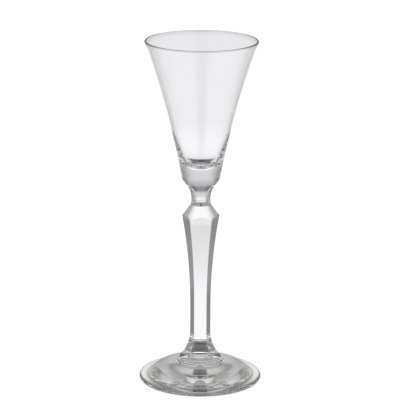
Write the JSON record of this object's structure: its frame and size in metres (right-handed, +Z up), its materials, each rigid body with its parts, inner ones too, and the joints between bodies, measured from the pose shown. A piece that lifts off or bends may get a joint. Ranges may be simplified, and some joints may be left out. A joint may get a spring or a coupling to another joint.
{
  "type": "liqueur glass",
  "caption": "Clear stemmed liqueur glass with a slender flared conical bowl, a solid bowl base, a round neck, a faceted swelling stem and a round domed foot.",
  "frame": {"origin": "centre of the foot's resting ring, on the surface the glass stands on", "axes": "+Z up along the glass's axis to the rim, -Y towards the picture's camera and square to a broad facet of the stem, +X to the right"},
  "size_m": [0.0584, 0.0584, 0.165],
  "materials": {
    "bowl_glass": "clear, fire polished",
    "stem_glass": "clear, pressed facets with softened edges",
    "foot_glass": "clear, fire polished"
  },
  "bodies": {
    "root": {"bowl": "bowl_glass", "stem": "stem_glass", "foot": "foot_glass"}
  },
  "joints": []
}
